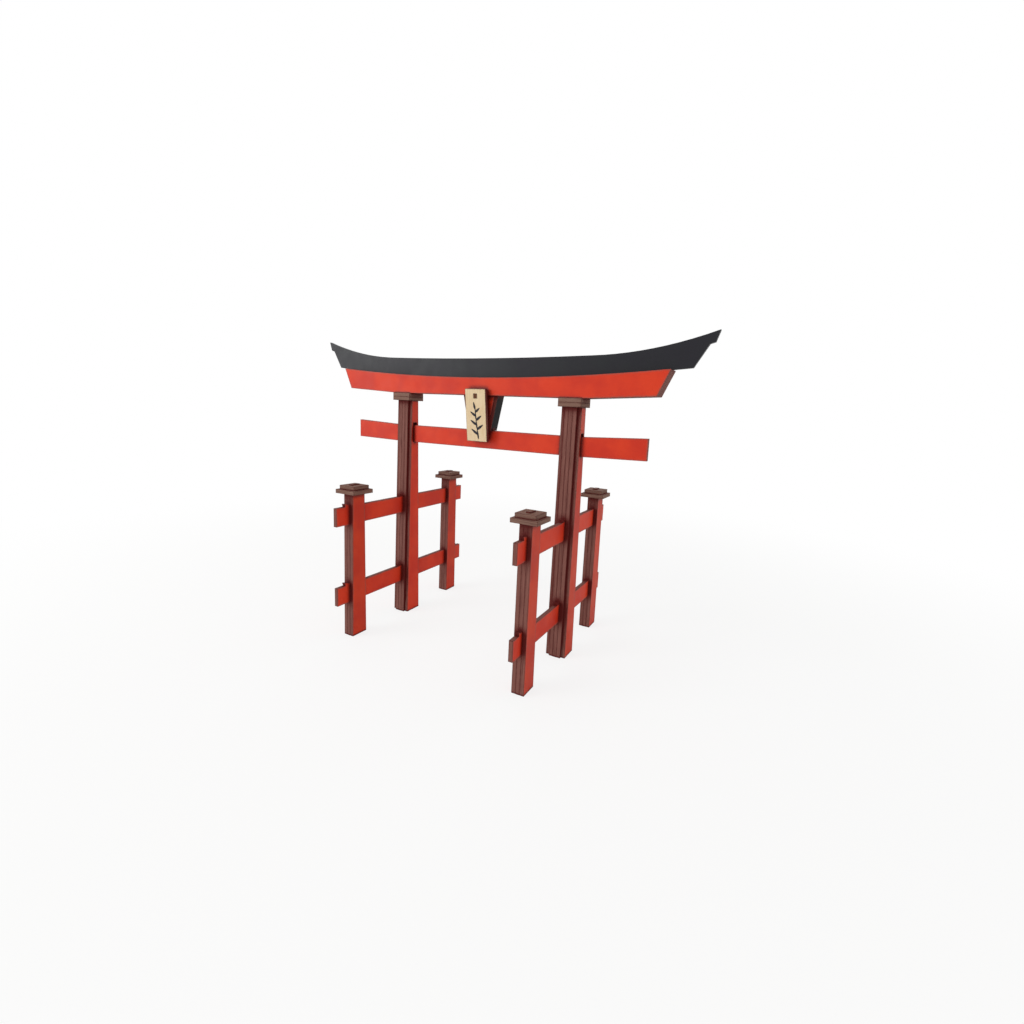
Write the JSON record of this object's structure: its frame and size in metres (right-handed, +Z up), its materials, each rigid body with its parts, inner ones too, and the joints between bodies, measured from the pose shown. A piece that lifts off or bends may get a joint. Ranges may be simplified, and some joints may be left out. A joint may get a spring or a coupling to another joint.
{
  "type": "torii gate model",
  "caption": "Four-legged torii gate model of laser-cut painted board: laminated posts, railed side frames, tie beam, curved lintels and a tilted plaque.",
  "frame": {"origin": "on the ground, midway between the two main posts", "axes": "+X along the beams towards the right-hand post seen from the front, -Y the front with the plaque, +Z up"},
  "size_m": [0.231, 0.1066, 0.1609],
  "materials": {
    "red_board": "vermilion paint on board, brown laser-cut edges",
    "brown_board": "laser-browned board, matt",
    "black_board": "satin black paint on board",
    "bare_board": "bare pale board"
  },
  "bodies": {
    "root": {"left_side_frame": "red_board", "right_side_frame": "red_board", "left_main_post_middle_in": "red_board", "left_main_post_middle_out": "red_board", "left_main_post_cheek_in": "red_board", "left_main_post_cheek_out": "red_board", "right_main_post_middle_in": "red_board", "right_main_post_middle_out": "red_board", "right_main_post_cheek_in": "red_board", "right_main_post_cheek_out": "red_board", "left_front_post_cheek_in": "red_board", "left_front_post_cheek_out": "red_board", "left_back_post_cheek_in": "red_board", "left_back_post_cheek_out": "red_board", "right_front_post_cheek_in": "red_board", "right_front_post_cheek_out": "red_board", "right_back_post_cheek_in": "red_board", "right_back_post_cheek_out": "red_board", "left_front_cap_lower": "brown_board", "left_front_cap_upper": "brown_board", "left_back_cap_lower": "brown_board", "left_back_cap_upper": "brown_board", "right_front_cap_lower": "brown_board", "right_front_cap_upper": "brown_board", "right_back_cap_lower": "brown_board", "right_back_cap_upper": "brown_board", "left_main_cap_lower": "brown_board", "left_main_cap_upper": "brown_board", "right_main_cap_lower": "brown_board", "right_main_cap_upper": "brown_board", "tie_beam": "red_board", "upper_lintel_core": "black_board", "lower_lintel_front": "red_board", "lower_lintel_front_inner": "red_board", "lower_lintel_back_inner": "red_board", "lower_lintel_back": "red_board", "strut_front": "red_board", "strut_core": "red_board", "strut_back": "red_board", "strut_left_side": "black_board", "strut_right_side": "black_board", "plaque": "bare_board", "plaque_bracket": "brown_board"}
  },
  "joints": []
}
